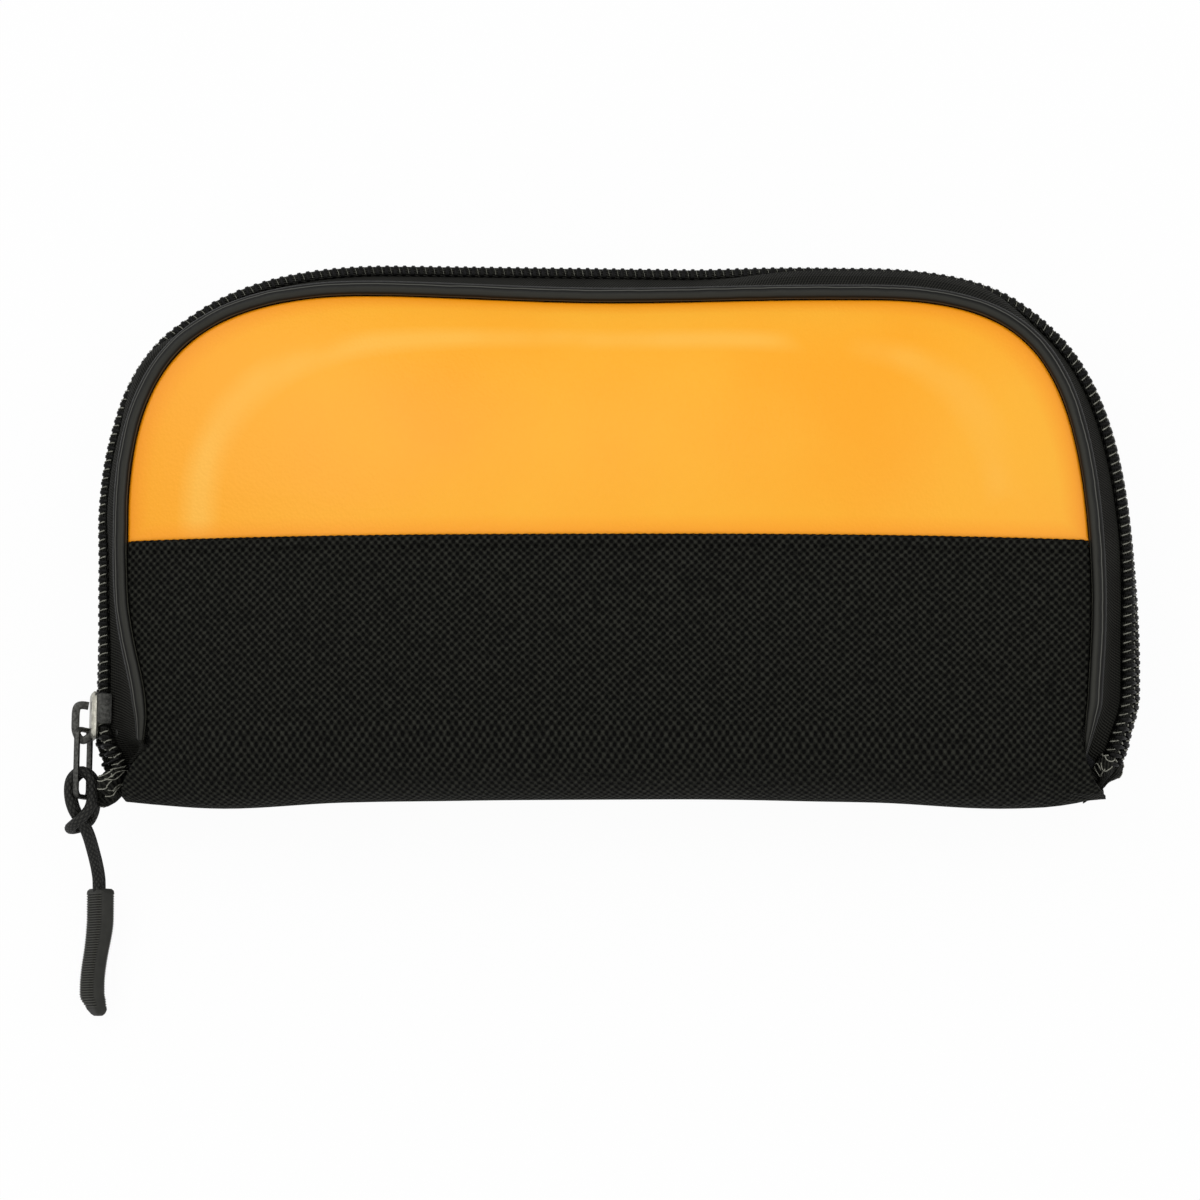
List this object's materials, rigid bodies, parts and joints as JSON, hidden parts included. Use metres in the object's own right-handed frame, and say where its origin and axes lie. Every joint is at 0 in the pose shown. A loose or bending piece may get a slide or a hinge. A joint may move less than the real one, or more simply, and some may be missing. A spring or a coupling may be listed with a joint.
{
  "type": "multimeter case",
  "caption": "Soft padded clamshell case for a hand-held meter, zipped on three sides with piped seams, an orange and black front, an inner slip pocket and a zip pull on a cord.",
  "frame": {"origin": "middle of the flat back that the case lies on, half way between the fold and the top teeth", "axes": "+X to the right seen from the front, +Y from the fold to the top edge, +Z out of the front panel"},
  "size_m": [0.2372, 0.1668, 0.046],
  "materials": {
    "orange_vinyl": "grained vinyl with a soft sheen",
    "black_ballistic_fabric": "coated coarse basket weave",
    "grey_foam": "closed-cell foam",
    "black_lining": "plain woven lining",
    "black_piping": "satin",
    "black_zip_tape": "woven tape",
    "black_zip_coil": "satin nylon",
    "black_binding": "woven tape",
    "grey_metal": "die-cast, satin",
    "black_cord": "braided",
    "black_rubber": "matte",
    "black_elastic": "knitted"
  },
  "bodies": {
    "back_half": {"back_fabric_panel": "black_ballistic_fabric", "back_foam_pad": "grey_foam", "back_lining": "black_lining", "back_zip_tape": "black_zip_tape", "back_seam_binding": "black_binding", "back_piping": "black_piping", "back_zip_coil": "black_zip_coil", "back_zip_end_left": "black_zip_tape", "back_zip_end_right": "black_zip_tape"},
    "front_half": {"front_vinyl_panel": "orange_vinyl", "front_fabric_panel": "black_ballistic_fabric", "front_foam_pad": "grey_foam", "front_lining": "black_lining", "front_zip_tape": "black_zip_tape", "front_seam_binding": "black_binding", "front_piping": "black_piping", "front_zip_coil": "black_zip_coil", "front_zip_end_left": "black_zip_tape", "front_zip_end_right": "black_zip_tape", "inner_pocket": "black_lining", "pocket_elastic": "black_elastic"},
    "slider": {"slider_body": "grey_metal"},
    "puller": {"puller_link": "grey_metal"},
    "pull": {"pull_cord": "black_cord", "pull_grip": "black_rubber"}
  },
  "joints": [
    {"name": "lid_open", "type": "hinge", "parent": "back_half", "child": "front_half", "pos_m": [0, -0.0613, 0.019], "axis": [1, 0, 0], "range_deg": [0, 165]},
    {"name": "slider_run", "type": "slide", "parent": "back_half", "child": "slider", "axis": [0, 1, 0], "range_m": [0, 0.036], "deforming": ["front_zip_coil", "back_zip_coil"]},
    {"name": "link_swing", "type": "hinge", "parent": "slider", "child": "puller", "pos_m": [-0.11775, -0.0441, 0.019], "axis": [0, 0, -1], "range_deg": [0, 165]},
    {"name": "pull_swing", "type": "hinge", "parent": "puller", "child": "pull", "pos_m": [-0.11775, -0.059, 0.019], "axis": [0, 0, -1], "range_deg": [-4, 15]}
  ]
}
